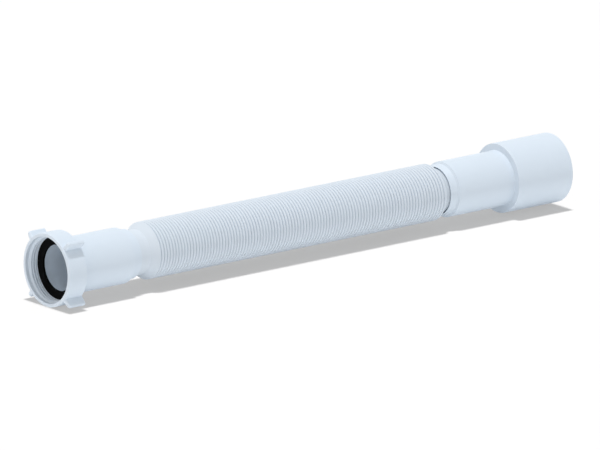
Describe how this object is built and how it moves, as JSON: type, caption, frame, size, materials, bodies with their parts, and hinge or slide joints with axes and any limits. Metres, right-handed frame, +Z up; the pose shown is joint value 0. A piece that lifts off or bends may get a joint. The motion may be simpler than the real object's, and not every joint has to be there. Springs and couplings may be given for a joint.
{
  "type": "corrugated waste connector",
  "caption": "Straight extendable concertina waste pipe with a lugged union nut and flat washer at the inlet and a stepped push-fit outlet.",
  "frame": {"origin": "centre of the union nut's open face, on the waterway's axis", "axes": "+X along the waterway from the nut to the outlet, +Z up as the part lies on a surface"},
  "size_m": [0.4546, 0.0526, 0.0526],
  "materials": {
    "fitting_plastic": "smooth satin polypropylene, cool white",
    "hose_plastic": "satin polypropylene, cool white",
    "washer_rubber": "matt black rubber"
  },
  "bodies": {
    "inlet": {"inlet_tail": "fitting_plastic", "sealing_washer": "washer_rubber", "corrugated_hose": "hose_plastic"},
    "nut": {"union_nut": "fitting_plastic"},
    "outlet": {"outlet_spigot": "fitting_plastic"}
  },
  "joints": [
    {"name": "nut_spin", "type": "hinge", "parent": "inlet", "child": "nut", "pos_m": [0.0078, 0, 0], "axis": [1, 0, 0], "continuous": true},
    {"name": "hose_stretch", "type": "slide", "parent": "inlet", "child": "outlet", "axis": [1, 0, 0], "range_m": [0, 0.25], "deforming": ["corrugated_hose"]}
  ]
}
